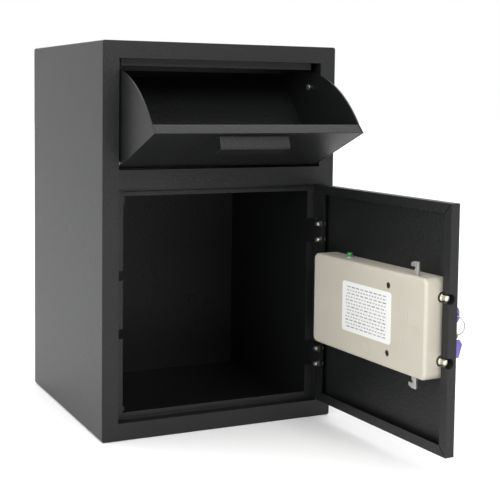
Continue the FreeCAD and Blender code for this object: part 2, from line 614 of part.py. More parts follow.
def build_hinge_arms():
    """Cranked arms: a leaf screwed on the lip, a crank and an eye round the pin."""
    arms = []
    screws = []
    nuts = []
    leaf_in = LIP_IN
    leaf_out = f"({LIP_IN} + arm_thickness)"
    for height in HINGE_HEIGHTS:
        z_span = (f"{height} - arm_height / 2", f"{height} + arm_height / 2")
        leaf = box(("-arm_reach", "arm_thickness / 2"), (leaf_in, leaf_out), z_span)
        crank = box(("-arm_thickness / 2", "arm_thickness / 2"), ("0", leaf_out), z_span)
        eye = rod("Z", ("0", "0"), "eye_radius", z_span)
        bore = rod("Z", ("0", "0"), "pin_diameter / 2 + running_gap",
                   (f"{z_span[0]} - sheet", f"{z_span[1]} + sheet"))
        arms.append(cut(fuse(leaf, crank, eye), bore, *hinge_screw_holes(height)))
        for centre in hinge_screw_places(height):
            head = rod("Y", centre, "hinge_screw / 2 + 1",
                       (f"{LIP_IN} - sheet - 2", f"{LIP_IN} - sheet"))
            shank = rod("Y", centre, "hinge_screw / 2",
                        (f"{LIP_IN} - sheet", f"{leaf_out} + nut_height + 2"))
            screws.append(fuse(head, shank))
            nuts.append(hex_nut(centre, leaf_out))
    door_node("hinge_arms", *arms)
    door_node("hinge_screws", *screws)
    door_node("hinge_nuts", *nuts)


def hex_nut(centre, seat):
    """A hexagon nut on a Y axis, flats up and down."""
    nut = doc.addObject("Part::Prism", "Hexagon")
    nut.Polygon = 6
    bind(nut, "Circumradius", "nut_width / sqrt(3)")
    bind(nut, "Height", "nut_height")
    nut.Placement.Rotation = FreeCAD.Rotation(FreeCAD.Vector(1, 0, 0), -90)
    place(nut, centre[0], seat, centre[1])
    bore = rod("Y", centre, "hinge_screw / 2", (f"{seat} - 1", f"{seat} + nut_height + 1"))
    return cut(nut, bore)


# ------------------------------------------------------- lock, inside the door
def build_cover():
    """Moulded cover over the lock works, open towards the door."""
    shell = rounded((COVER_FREE, COVER_HINGE), (COVER_BOTTOM, COVER_TOP),
                    (SKIN_IN, COVER_FACE), "cover_corner")
    face = number(COVER_FACE)

    def front_edge(edge, middle):
        return abs(middle.y - face) < 0.01
    round_edges(shell, "cover_edge", front_edge)
    hollow = box((f"{COVER_FREE} + cover_wall", f"{COVER_HINGE} - cover_wall"),
                 (f"{SKIN_IN} - sheet", f"{COVER_FACE} - cover_wall"),
                 (f"{COVER_BOTTOM} + cover_wall", f"{COVER_TOP} - cover_wall"))
    tools = [hollow]
    for side in (-1, 1):
        height = f"{LOCK_Z} + {side} * {BOLT_HALF}"
        tools.append(rod("X", (BOLT_Y, height), "bolt_body / 2 + 1.5 * bolt_clearance",
                         (f"{COVER_FREE} - 1", f"{COVER_FREE} + 2 * cover_wall")))
        tools.append(box((f"{LUG_X} - bolt_travel - lug_width / 2 - 2 * part_gap",
                          f"{LUG_X} + lug_width / 2 + 2 * part_gap"),
                         (f"{LUG_Y} - 2 * part_gap", f"{LUG_Y} + lug_thickness + 2 * part_gap"),
                         (f"{LOCK_Z} + {side} * (cover_height / 2 - cover_wall / 2) - cover_wall",
                          f"{LOCK_Z} + {side} * (cover_height / 2 - cover_wall / 2) + cover_wall")))
    for centre in cover_screw_places():
        tools.append(rod("Y", centre, "cover_screw / 2",
                         (f"{COVER_FACE} - 2 * cover_wall", f"{COVER_FACE} + 1")))
        tools.append(rod("Y", centre, "cover_screw",
                         (f"{COVER_FACE} - cover_wall / 2", f"{COVER_FACE} + 1")))
    tools.append(rod("Z", reset_place(), "button_diameter / 2",
                     (f"{COVER_TOP} - 2 * cover_wall", f"{COVER_TOP} + 1")))
    door_node("lock_cover", cut(shell, *tools))


def cover_screw_places():
    x = f"({FREE_EDGE} + cover_screw_inset)"
    return [(x, f"({LOCK_Z} + {side} * cover_screw_pitch / 2)") for side in (-1, 1)]


def reset_place():
    return (f"({FREE_EDGE} + button_inset)", f"({SKIN_IN} + cover_depth / 2)")


def build_cover_fittings():
    """Cover screws, printed label and the recessed reset button's base."""
    screws = []
    for centre in cover_screw_places():
        head = rod("Y", centre, "cover_screw * 0.9",
                   (f"{COVER_FACE} - cover_wall / 2", f"{COVER_FACE} - cover_wall / 6"))
        shank = rod("Y", centre, "cover_screw / 2",
                    (f"{SKIN_IN} + base_plate", f"{COVER_FACE} - cover_wall / 2"))
        screws.append(fuse(head, shank))
    door_node("cover_screws", *screws)
    left = f"({FREE_EDGE} + label_inset - label_width / 2)"
    low = f"({LOCK_Z} + label_rise - label_height / 2)"
    label = rounded((left, f"{left} + label_width"), (low, f"{low} + label_height"),
                    (COVER_FACE, f"{COVER_FACE} + label_thickness"), "cover_edge")
    door_node("instruction_label", label)
    x, y = reset_place()
    base_top = f"({COVER_TOP} + 2)"
    collar = rod("Z", (x, y), "button_diameter / 2 + 1", (COVER_TOP, base_top))
    barrel = rod("Z", (x, y), "button_diameter / 2", (f"{COVER_TOP} - 12", COVER_TOP))
    bore = rod("Z", (x, y), "button_diameter / 2 - 1.2", (f"{COVER_TOP} - 9", f"{base_top} + 1"))
    door_node("reset_button_base", cut(fuse(collar, barrel), bore))
    stem = rod("Z", (x, y), "button_diameter / 2 - 1.5", (f"{COVER_TOP} - 7", f"{COVER_TOP} + 4"))
    cap = rod("Z", (x, y), "button_diameter / 2 - 0.5", (f"{COVER_TOP} + 4", f"{COVER_TOP} + 7"))
    door_node("reset_button", fuse(stem, cap))


def build_base_plate():
    """Steel plate that the works stand on."""
    plate = box((f"{COVER_FREE} + cover_wall + part_gap", f"{COVER_HINGE} - cover_wall - part_gap"),
                (SKIN_IN, f"{SKIN_IN} + base_plate"),
                (f"{COVER_BOTTOM} + cover_wall + part_gap", f"{COVER_TOP} - cover_wall - part_gap"))
    door_node("lock_base_plate", cut(plate, *lock_holes()))


def build_carriage():
    """Plate that ties both bolts and is driven by the knob's crank pin."""
    rear = CARRIAGE_REAR
    front = f"({COVER_FREE} + cover_wall + bolt_travel + 2 * part_gap)"
    half = f"({BOLT_HALF} + boss_length)"
    y_span = (CARRIAGE_Y, f"{CARRIAGE_Y} + carriage_plate")
    through = (f"{CARRIAGE_Y} - 1", f"{CARRIAGE_Y} + carriage_plate + 1")
    plate = box((front, rear), y_span, (f"{LOCK_Z} - {half}", f"{LOCK_Z} + {half}"))
    bosses = []
    for side in (-1, 1):
        height = f"{LOCK_Z} + {side} * {BOLT_HALF}"
        bosses.append(box((BOLT_REAR, f"{BOLT_REAR} + boss_length"),
                          (f"{BOLT_Y} - bolt_body / 2", CARRIAGE_Y),
                          (f"{height} - boss_length / 2", f"{height} + boss_length / 2")))
    slot_x = f"({KNOB_X} + crank_throw * sin(45))"
    slot_half = "(crank_pin / 2 + 1.5 * part_gap)"
    slot = box((f"{slot_x} - {slot_half}", f"{slot_x} + {slot_half}"), through,
               (f"{LOCK_Z} + crank_throw * cos(45) - {slot_half}",
                f"{LOCK_Z} + crank_throw + {slot_half}"))
    # The cover's screws pass through both cut-away corners, and the solenoid's
    # plunger drops behind the shoulder when the bolts are out.
    screw_x = cover_screw_places()[0][0]
    below = box((f"{screw_x} - bolt_travel", f"{rear} + 1"), through,
                (f"{LOCK_Z} - {half} - 1", f"{LOCK_Z} - crank_throw"))
    above = box((f"{HOLD_X} - solenoid_width / 2 - 2 * part_gap", f"{rear} + 1"), through,
                (HOLD_Z, f"{LOCK_Z} + {half} + 1"))
    door_node("bolt_carriage", cut(fuse(plate, *bosses), slot, below, above))


def build_bolts():
    """Stepped round bolts."""
    bolts = []
    for side in (-1, 1):
        centre = (BOLT_Y, f"({LOCK_Z} + {side} * {BOLT_HALF})")
        body = rod("X", centre, "bolt_body / 2", (BOLT_FRONT, BOLT_REAR))
        nose = rod("X", centre, "bolt_nose / 2", (f"{BOLT_FRONT} - bolt_nose_length", BOLT_FRONT))
        bolts.append(fuse(body, nose))
    door_node("lock_bolts", *bolts)


def build_lugs():
    """Hooked lugs on the carriage, standing out of the cover: on a taller door a rod
    would hang from each notch."""
    lugs = []
    left = f"({LUG_X} - lug_width / 2)"
    right = f"({LUG_X} + lug_width / 2)"
    y_span = (LUG_Y, f"{LUG_Y} + lug_thickness")
    for side in (-1, 1):
        base = f"({LOCK_Z} + {side} * ({BOLT_HALF} + boss_length / 2))"
        tip = f"({LOCK_Z} + {side} * (cover_height / 2 + lug_height))"
        outline = [(left, base), (right, base),
                   (right, f"{tip} - {side} * lug_height * 0.62"),
                   (f"{right} - 0.3 * lug_width", f"{tip} - {side} * lug_height * 0.54"),
                   (f"{right} - 0.3 * lug_width", f"{tip} - {side} * lug_height * 0.4"),
                   (f"{right} + 0.7 * lug_width", f"{tip} - {side} * lug_height * 0.4"),
                   (f"{right} + 0.7 * lug_width", f"{tip} - {side} * lug_height * 0.14"),
                   (f"{right} - 0.1 * lug_width", tip), (left, tip)]
        post = prism("XZ", outline, y_span)
        foot_end = f"({LOCK_Z} + {side} * ({BOLT_HALF} + boss_length))"
        z_span = (base, foot_end) if side > 0 else (foot_end, base)
        foot = box((left, right), (f"{CARRIAGE_Y} + carriage_plate", LUG_Y), z_span)
        lugs.append(fuse(post, foot))
    door_node("rod_lugs", *lugs)


def build_knob():
    """Round knob with a grip rib, and its spindle with the crank inside."""
    grip_face = f"({PANEL_FACE} - knob_height)"
    skirt = rod("Y", (KNOB_X, LOCK_Z), "knob_diameter / 2",
                (f"{PANEL_FACE} - knob_height / 3", f"{PANEL_FACE} - part_gap"))
    rib = box((f"{KNOB_X} - knob_diameter / 9", f"{KNOB_X} + knob_diameter / 9"),
              (grip_face, f"{PANEL_FACE} - knob_height / 3"),
              (f"{LOCK_Z} - knob_diameter / 2.2", f"{LOCK_Z} + knob_diameter / 2.2"))
    rim = rod("Y", (KNOB_X, LOCK_Z), "knob_diameter / 3",
              (f"{PANEL_FACE} - knob_height / 1.6", f"{PANEL_FACE} - knob_height / 3"))
    door_node("knob", fuse(skirt, rib, rim))
    shaft = rod("Y", (KNOB_X, LOCK_Z), "spindle / 2",
                (f"{PANEL_FACE} - part_gap", f"{CARRIAGE_Y} - 6"))
    web_y = (f"{CARRIAGE_Y} - 6", f"{CARRIAGE_Y} - 2.5")
    disc = rod("Y", (KNOB_X, LOCK_Z), "crank_throw + crank_pin / 2 + 1", web_y)
    pin = rod("Y", (f"{KNOB_X} + crank_throw * sin(45)", f"{LOCK_Z} + crank_throw * cos(45)"),
              "crank_pin / 2", (web_y[1], f"{CARRIAGE_Y} + carriage_plate + 2"))
    door_node("knob_spindle", fuse(shaft, disc, pin))


def build_electrics():
    """Cells in their tray, the board, and the solenoid that holds the carriage out."""
    floor = f"({SKIN_IN} + base_plate)"
    end = f"({COVER_HINGE} - cover_wall - 4)"
    middle = f"({floor} + cell_diameter / 2)"
    cells = []
    for step in range(4):
        height = f"({LOCK_Z} + {step - 1.5} * (cell_diameter + 2))"
        cells.append(rod("X", (middle, height), "cell_diameter / 2",
                         (f"{end} - cell_length", end)))
    door_node("battery_cells", *cells)
    reach = "(2 * (cell_diameter + 2))"
    z_span = (f"{LOCK_Z} - {reach}", f"{LOCK_Z} + {reach}")
    ends = [box((f"{end} - cell_length - 2", f"{end} - cell_length"), (floor, middle), z_span),
            box((end, f"{end} + 2"), (floor, middle), z_span)]
    door_node("battery_tray", *ends)

    board_x = f"({FREE_EDGE} + label_inset)"
    z_span = (f"{LOCK_Z} - 44", f"{LOCK_Z} - 8")
    board = box((f"{board_x} - 22", f"{board_x} + 28"), (f"{floor} + 6", f"{floor} + 7.6"), z_span)
    posts = [rod("Y", (f"{board_x} + {x}", f"{LOCK_Z} - {z}"), "2.5", (floor, f"{floor} + 6"))
             for x in (-18, 24) for z in (12, 40)]
    door_node("circuit_board", fuse(board, *posts))

    axis_y = f"({CARRIAGE_Y} + carriage_plate / 2)"
    coil_low = f"({HOLD_Z} + 4)"
    coil_top = f"({coil_low} + solenoid_height)"
    coil = box((f"{HOLD_X} - solenoid_width / 2", f"{HOLD_X} + solenoid_width / 2"),
               (floor, f"{axis_y} + solenoid_width / 2"), (coil_low, coil_top))
    bore = rod("Z", (HOLD_X, axis_y), "plunger_diameter / 2 + running_gap",
               (f"{coil_low} - 1", f"{coil_top} - 1.5"))
    door_node("solenoid_body", cut(coil, bore))
    plunger = rod("Z", (HOLD_X, axis_y), "plunger_diameter / 2",
                  (f"{HOLD_Z} + part_gap", f"{coil_top} - 4"))
    door_node("solenoid_plunger", plunger)


# ------------------------------------------------------ lock, outside the door
def key_places():
    """Four rows of three push buttons, read left to right and top to bottom."""
    middle = f"({FREE_EDGE} + keypad_inset)"
    return [(f"({middle} + {column - 1} * key_pitch_x)", f"({LOCK_Z} + {1.5 - row} * key_pitch_z)")
            for row in range(4) for column in range(3)]


KEY_NAMES = ["key_1", "key_2", "key_3", "key_4", "key_5", "key_6",
             "key_7", "key_8", "key_9", "key_clear", "key_0", "key_enter"]


def build_lock_panel():
    """Moulded panel with the keypad, the knob's seat and the key cylinder's hole."""
    z_span = (f"{LOCK_Z} - panel_height / 2", f"{LOCK_Z} + panel_height / 2")
    block = rounded((PANEL_FREE, f"{PANEL_FREE} + panel_width"), z_span,
                    (PANEL_FACE, SKIN_OUT), "panel_corner")
    face = number(PANEL_FACE)

    def front_edge(edge, middle):
        return abs(middle.y - face) < 0.01
    round_edges(block, "cover_edge", front_edge)
    through = (f"{PANEL_FACE} - 1", f"{SKIN_OUT} + 1")
    tools = [rod("Y", (KNOB_X, LOCK_Z), "spindle / 2 + part_gap", through),
             rod("Y", (CYLINDER_X, CYLINDER_Z), "cylinder_diameter / 2 + running_gap", through),
             rod("Y", lens_place(), "2.5", (f"{PANEL_FACE} - 1", f"{PANEL_FACE} + 3"))]
    for x, z in key_places():
        tools.append(box((f"{x} - key_width / 2 - key_gap", f"{x} + key_width / 2 + key_gap"),
                         (f"{PANEL_FACE} - 1", f"{PANEL_FACE} + panel_depth / 2"),
                         (f"{z} - key_height / 2 - key_gap", f"{z} + key_height / 2 + key_gap")))
    door_node("lock_panel", cut(block, *tools))
    lens = rod("Y", lens_place(), "2.5", (f"{PANEL_FACE} - 0.6", f"{PANEL_FACE} + 3"))
    door_node("status_lens", lens)


def lens_place():
    return (KNOB_X, f"({LOCK_Z} + panel_height / 2 - 9)")


def build_keys():
    """Push buttons of the keypad, each with crowned edges."""
    for label, (x, z) in zip(KEY_NAMES, key_places()):
        cap = rounded((f"{x} - key_width / 2", f"{x} + key_width / 2"),
                      (f"{z} - key_height / 2", f"{z} + key_height / 2"),
                      (f"{PANEL_FACE} - key_proud", f"{PANEL_FACE} + panel_depth / 2 - 2 * key_proud"),
                      "key_proud")
        door_node(label, cap)


def build_cylinder():
    """Emergency key cylinder, its turning plug with a cam, and the key in it."""
    centre = (CYLINDER_X, CYLINDER_Z)
    nose = f"({PANEL_FACE} - 2)"
    tail = f"({CARRIAGE_Y} - 5)"
    body = rod("Y", centre, "cylinder_diameter / 2", (PANEL_FACE, tail))
    flange = rod("Y", centre, "cylinder_diameter / 2 + 1.5", (nose, PANEL_FACE))
    bore = rod("Y", centre, "plug_diameter / 2 + running_gap", (f"{nose} - 1", f"{tail} + 1"))
    door_node("key_cylinder", cut(fuse(body, flange), bore))
    plug = rod("Y", centre, "plug_diameter / 2", (nose, f"{tail} + part_gap"))
    cam = box((f"{CYLINDER_X} - 3.5", f"{CYLINDER_X} + 3.5"),
              (f"{tail} + part_gap", f"{tail} + part_gap + 2"),
              (f"{CYLINDER_Z} - 12", f"{CYLINDER_Z} + 4"))
    door_node("key_plug", fuse(plug, cam))
    shank_end = f"({nose} - key_shank)"
    shank = box((f"{CYLINDER_X} - 1", f"{CYLINDER_X} + 1"), (shank_end, nose),
                (f"{CYLINDER_Z} - 4", f"{CYLINDER_Z} + 4"))
    door_node("key_blade", shank)
    door_node("key_head", key_head(shank_end))


def ring_hole_y(shank_end):
    return f"({shank_end} - key_head_size + ring_hole + 2)"


def key_head(shank_end):
    """Plastic bow of the key in the lock, upright, with a hole for the ring."""
    half = "(key_head_size / 2)"
    end = f"({shank_end} - key_head_size)"
    outline = [(shank_end, f"{CYLINDER_Z} - 6"), (shank_end, f"{CYLINDER_Z} + 6"),
               (f"{shank_end} - 8", f"{CYLINDER_Z} + {half}"),
               (f"{end} + 8", f"{CYLINDER_Z} + {half}"),
               (end, f"{CYLINDER_Z} + 3", 8.5), (end, f"{CYLINDER_Z} - 3"),
               (f"{end} + 8", f"{CYLINDER_Z} - {half}", 8.5),
               (f"{shank_end} - 8", f"{CYLINDER_Z} - {half}")]
    plate = prism("YZ", outline, (f"{CYLINDER_X} - key_thickness / 2",
                                  f"{CYLINDER_X} + key_thickness / 2"))
    hole = rod("X", (ring_hole_y(shank_end), CYLINDER_Z), "ring_hole",
               (f"{CYLINDER_X} - key_thickness", f"{CYLINDER_X} + key_thickness"))
    return cut(plate, hole)


def build_ring():
    """Wire ring through both keys, and the spare key that hangs from it."""
    shank_end = f"({PANEL_FACE} - 2 - key_shank)"
    hole_y = ring_hole_y(shank_end)
    # The ring hangs just over the lower edge of the hole in the key's head.
    sag = "(ring_hole - ring_wire - 2.6 * part_gap)"
    centre_z = f"({CYLINDER_Z} - {sag} - ring_radius)"
    ring = doc.addObject("Part::Torus", "Ring")
    bind(ring, "Radius1", "ring_radius")
    bind(ring, "Radius2", "ring_wire")
    place(ring, CYLINDER_X, hole_y, centre_z)
    upright = FreeCAD.Rotation(FreeCAD.Vector(1, 0, 0), 90)
    ring.Placement.Rotation = about_z(number("ring_turn")) * upright
    door_node("key_ring", ring)

    # The spare key is drawn facing -Y about the Z axis, then turned on the ring.
    eye = f"({centre_z} - ring_radius - ring_hole + ring_wire + 2.5 * part_gap)"
    head_top = f"({eye} - ring_hole - 1.5)"
    head_low = f"({head_top} - key_head_size)"
    half = "(key_head_size / 2 - 1)"
    outline = [("-5.5", head_low), ("5.5", head_low), (half, f"{head_top} - 6"),
               ("6", head_top), ("-6", head_top), (f"-{half}", f"{head_top} - 6")]
    spare_head = prism("XZ", outline, ("-key_thickness / 2", "key_thickness / 2"))
    leaf = ("-blade_thickness / 2", "blade_thickness / 2")
    outline = [("0", f"{head_low} - blade_length"), ("3.5", f"{head_low} - blade_length + 5"),
               ("3.5", f"{head_low} - 12"), ("2.5", f"{head_low} - 10"), ("2.5", head_low),
               ("-3.5", head_low), ("-3.5", f"{head_low} - blade_length + 5")]
    blade = prism("XZ", outline, leaf)
    tab = fuse(rod("Y", ("0", eye), "ring_hole + 1.5", leaf),
               box(("-ring_hole - 1.5", "ring_hole + 1.5"), leaf, (head_top, eye)))
    hole = rod("Y", ("0", eye), "ring_hole", ("-key_thickness", "key_thickness"))
    for label, pieces in (("spare_key_head", [spare_head]),
                          ("spare_key_blade", [blade, cut(tab, hole)])):
        spare = doc.addObject("Part::Compound", "Spare")
        spare.Links = pieces
        place(spare, CYLINDER_X, hole_y, 0)
        spare.Placement.Rotation = about_z(number("ring_turn - spare_turn - 90"))
        door_node(label, spare)


def about_z(angle):
    return FreeCAD.Rotation(FreeCAD.Vector(0, 0, 1), angle)


# ------------------------------------------------------------------ build it all
build_shell()
build_back()
build_frame()
build_stops()
build_header()
build_baffle()
build_hinge_seats()
build_hopper_pins()
build_hopper_pan()
hopper_node("hopper_side_plate_left", side_plate((f"-{PLATE_OUT}", f"-{PLATE_IN}")))
hopper_node("hopper_side_plate_right", side_plate((PLATE_IN, PLATE_OUT)))
build_hopper_tray()
build_hopper_handle()
build_hopper_limits()
build_door()
build_hinge_arms()
build_cover()
build_cover_fittings()
build_base_plate()
build_carriage()
build_bolts()
build_lugs()
build_knob()
build_electrics()
build_lock_panel()
build_keys()
build_cylinder()
build_ring()
doc.recompute()

faults = [thing.Label for thing in doc.Objects
          if "Invalid" in thing.State or "Error" in thing.State]
for label, part in made.items():
    if part.Shape.isNull() or not part.Shape.isValid() or not part.Shape.Solids:
        faults.append(label)
if faults:
    raise RuntimeError("failed: " + ", ".join(faults))

os.makedirs("parts", exist_ok=True)
for label, part in made.items():
    part.Shape.exportStep("parts/%s.step" % label)
print("wrote", len(made), "sub-parts")
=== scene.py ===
import json
import math

import bpy
from mathutils import Matrix, Vector

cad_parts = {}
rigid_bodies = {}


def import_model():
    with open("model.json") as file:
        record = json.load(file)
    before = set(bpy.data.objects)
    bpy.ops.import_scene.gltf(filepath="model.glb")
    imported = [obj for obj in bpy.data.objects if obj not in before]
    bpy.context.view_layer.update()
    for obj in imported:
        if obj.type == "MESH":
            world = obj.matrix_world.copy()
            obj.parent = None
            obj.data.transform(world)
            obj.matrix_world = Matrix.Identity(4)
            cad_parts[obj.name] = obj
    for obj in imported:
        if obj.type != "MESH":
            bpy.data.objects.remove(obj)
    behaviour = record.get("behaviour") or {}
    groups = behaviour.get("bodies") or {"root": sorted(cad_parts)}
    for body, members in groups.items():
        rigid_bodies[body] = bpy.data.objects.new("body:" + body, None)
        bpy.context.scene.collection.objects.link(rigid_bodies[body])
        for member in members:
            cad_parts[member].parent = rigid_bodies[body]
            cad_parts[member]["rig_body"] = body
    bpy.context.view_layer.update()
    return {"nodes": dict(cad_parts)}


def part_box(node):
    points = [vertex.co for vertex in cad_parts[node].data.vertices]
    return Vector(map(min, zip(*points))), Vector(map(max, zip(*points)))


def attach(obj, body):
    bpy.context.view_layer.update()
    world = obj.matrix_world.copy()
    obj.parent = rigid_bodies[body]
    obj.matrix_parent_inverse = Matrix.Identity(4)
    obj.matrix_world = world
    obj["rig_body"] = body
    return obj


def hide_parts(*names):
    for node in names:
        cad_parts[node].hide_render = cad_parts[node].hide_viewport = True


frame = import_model()

# --- Cabinet -------------------------------------------------------------------
# A tube folded from 2 mm steel, a back panel and a pressed front frame, welded and
# then powder coated black. The coat runs over every bend and rounds it.


def linear(code):
    """sRGB hex to the linear colour that the shader takes."""
    parts = [int(code[i:i + 2], 16) / 255 for i in (1, 3, 5)]
    curve = [c / 12.92 if c <= 0.04045 else ((c + 0.055) / 1.055) ** 2.4 for c in parts]
    return (*curve, 1.0)


def connect(tree, node, inputs):
    """Links and values for a node's inputs."""
    for name, value in inputs.items():
        if isinstance(value, bpy.types.NodeSocket):
            tree.links.new(value, node.inputs[name])
        else:
            node.inputs[name].default_value = value


def add_node(tree, kind, inputs=None, **settings):
    """One node with its settings, its values and its links."""
    node = tree.nodes.new(kind)
    for name, value in settings.items():
        setattr(node, name, value)
    connect(tree, node, inputs or {})
    return node


def start_material(name):
    """An empty material with its shader, its output and its place on the piece."""
    material = bpy.data.materials.new(name)
    material.use_nodes = True
    tree = material.node_tree
    tree.nodes.clear()
    shader = add_node(tree, "ShaderNodeBsdfPrincipled")
    add_node(tree, "ShaderNodeOutputMaterial", {"Surface": shader.outputs["BSDF"]})
    place = add_node(tree, "ShaderNodeTexCoord").outputs["Object"]
    return material, tree, shader, place


# Polyester powder coat, baked: satin black with a faint orange peel. Its grain is
# about 0.3 mm on the real sheet and is drawn at 1.2 mm, so that it shows.
powder_coat, tree, shader, place = start_material("black_polyester_powder_coat")
grain = add_node(tree, "ShaderNodeTexNoise",
                 {"Vector": place, "Scale": 800.0, "Detail": 2.0, "Roughness": 0.6})
cloud = add_node(tree, "ShaderNodeTexNoise",
                 {"Vector": place, "Scale": 14.0, "Detail": 2.0, "Roughness": 0.5})
peel = add_node(tree, "ShaderNodeTexNoise",
                {"Vector": place, "Scale": 260.0, "Detail": 1.0, "Roughness": 0.4})
tint = add_node(tree, "ShaderNodeMix",
                {"Factor": cloud.outputs["Fac"], "A": linear("#0E0F10"), "B": linear("#131415")},
                data_type="RGBA")
gloss = add_node(tree, "ShaderNodeMapRange",
                 {"Value": grain.outputs["Fac"], "From Min": 0.3, "From Max": 0.7,
                  "To Min": 0.36, "To Max": 0.52})
height = add_node(tree, "ShaderNodeMath", {0: grain.outputs["Fac"], 1: peel.outputs["Fac"]},
                  operation="ADD")
bump = add_node(tree, "ShaderNodeBump",
                {"Strength": 1.0, "Distance": 0.00032, "Height": height.outputs["Value"]})
connect(tree, shader, {"Base Color": tint.outputs["Result"],
                       "Roughness": gloss.outputs["Result"],
                       "Normal": bump.outputs["Normal"],
                       "IOR": 1.5, "Specular IOR Level": 0.4})


def deselect():
    """Nothing in edit mode and nothing selected."""
    if bpy.context.object and bpy.context.object.mode != "OBJECT":
        bpy.ops.object.mode_set(mode="OBJECT")
    bpy.ops.object.select_all(action="DESELECT")


def coat(piece, material):
    """The one material that covers a piece."""
    piece.data.materials.clear()
    piece.data.materials.append(material)


def soften(node, material, radius, segments=2, flatten=True):
    """A coated copy of a node, its facets merged and its sharp edges rounded."""
    same_point = 2e-6
    nearly_flat = math.radians(0.6)
    sharp = math.radians(35)
    crease = math.radians(40)
    source = frame["nodes"][node]
    piece = bpy.data.objects.new(node + "_finished", source.data.copy())
    bpy.context.scene.collection.objects.link(piece)
    deselect()
    piece.select_set(True)
    bpy.context.view_layer.objects.active = piece
    bpy.ops.object.mode_set(mode="EDIT")
    bpy.ops.mesh.select_all(action="SELECT")
    bpy.ops.mesh.remove_doubles(threshold=same_point)
    bpy.ops.mesh.customdata_custom_splitnormals_clear()
    if flatten:
        bpy.ops.mesh.dissolve_limited(angle_limit=nearly_flat)
    bpy.ops.object.mode_set(mode="OBJECT")
    if radius:
        bevel = piece.modifiers.new("edge", "BEVEL")
        bevel.width = radius
        bevel.segments = segments
        bevel.limit_method = "ANGLE"
        bevel.angle_limit = sharp
        bevel.miter_outer = "MITER_ARC"
        bpy.ops.object.modifier_apply(modifier="edge")
    bpy.ops.object.shade_smooth_by_angle(angle=crease)
    level = piece.modifiers.new("level", "WEIGHTED_NORMAL")
    level.keep_sharp = True
    bpy.ops.object.modifier_apply(modifier="level")
    coat(piece, material)
    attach(piece, source["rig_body"])
    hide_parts(node)


cabinet_edges = {
    "cabinet_shell": 0.0004, "back_panel": 0.0003, "front_frame": 0.0009,
    "door_stop_latch_side": 0.0003, "door_stop_hinge_side": 0.0003,
    "door_stop_rails": 0.0003, "hopper_header_strip": 0.0005,
    "anti_fishing_baffle": 0.0004,
}
for name, radius in cabinet_edges.items():
    soften(name, powder_coat, radius)

# --- Hinge seats and pivots ----------------------------------------------------
# Brackets bent from mild steel, and turned hinge and pivot pins, all zinc plated and
# fixed to the cabinet from inside.

# Bright zinc plate: a cool grey, cloudy in patches of 4 mm, with a grain of just over
# 1 mm, which is coarser than the real one so that it shows.
zinc, tree, shader, place = start_material("bright_zinc_plated_steel")
cloud = add_node(tree, "ShaderNodeTexNoise",
                 {"Vector": place, "Scale": 240.0, "Detail": 4.0, "Roughness": 0.6})
drawn = add_node(tree, "ShaderNodeTexNoise",
                 {"Vector": place, "Scale": 900.0, "Detail": 2.0, "Roughness": 0.5})
tint = add_node(tree, "ShaderNodeMix",
                {"Factor": cloud.outputs["Fac"], "A": linear("#C6C6C2"), "B": linear("#E4E3DE")},
                data_type="RGBA")
gloss = add_node(tree, "ShaderNodeMapRange",
                 {"Value": drawn.outputs["Fac"], "To Min": 0.3, "To Max": 0.55})
bump = add_node(tree, "ShaderNodeBump",
                {"Strength": 0.3, "Distance": 0.00005, "Height": drawn.outputs["Fac"]})
connect(tree, shader, {"Base Color": tint.outputs["Result"],
                       "Roughness": gloss.outputs["Result"],
                       "Normal": bump.outputs["Normal"], "Metallic": 1.0})

pivot_edges = {"hinge_brackets": 0.0004, "hinge_pins": 0.0004, "hopper_pivot_pins": 0.0005}
for name, radius in pivot_edges.items():
    soften(name, zinc, radius)

# --- Hopper --------------------------------------------------------------------
# A folded front pan, its liner, two fan-shaped cheeks and the sloping tray, welded
# into one tipping bin and coated like the cabinet. The pull is folded and welded on.

hopper_edges = {
    "hopper_front_panel": 0.0012, "hopper_liner": 0.0004,
    "hopper_side_plate_left": 0.0004, "hopper_side_plate_right": 0.0004,
    "hopper_tray": 0.0003, "hopper_handle": 0.0006,
}
for name, radius in hopper_edges.items():
    soften(name, powder_coat, radius)
soften("hopper_limit_pins", zinc, radius=0.0005)

# Sleeves on the stop pins: cut from EPDM rubber tube, matt black with a dusty bloom
# in specks of about 3 mm.
rubber, tree, shader, place = start_material("black_epdm_rubber")
bloom = add_node(tree, "ShaderNodeTexNoise",
                 {"Vector": place, "Scale": 350.0, "Detail": 4.0, "Roughness": 0.7})
tint = add_node(tree, "ShaderNodeMix",
                {"Factor": bloom.outputs["Fac"], "A": linear("#101010"), "B": linear("#1F1F20")},
                data_type="RGBA")
bump = add_node(tree, "ShaderNodeBump",
                {"Strength": 0.3, "Distance": 0.0001, "Height": bloom.outputs["Fac"]})
connect(tree, shader, {"Base Color": tint.outputs["Result"],
                       "Normal": bump.outputs["Normal"], "Roughness": 0.85})
soften("hopper_bumpers", rubber, radius=0.0006)

# --- Anchor hole shade plugs ---------------------------------------------------
# Four black rubber plugs, each a short stem with a thin domed flange, set in the unused
# anchor holes from inside. They are painted shade: dark discs that stand for the dark
# seen through each hole.

stem_radius, stem_length = 0.0048, 0.0024
flange_share, flange_thickness = 1.42, 0.0008
dome_inset, dome_rise = 0.0014, 0.0004
hole_x, hole_low, hole_high = 0.092, 0.111, 0.389
stem_end_y = 0.1598

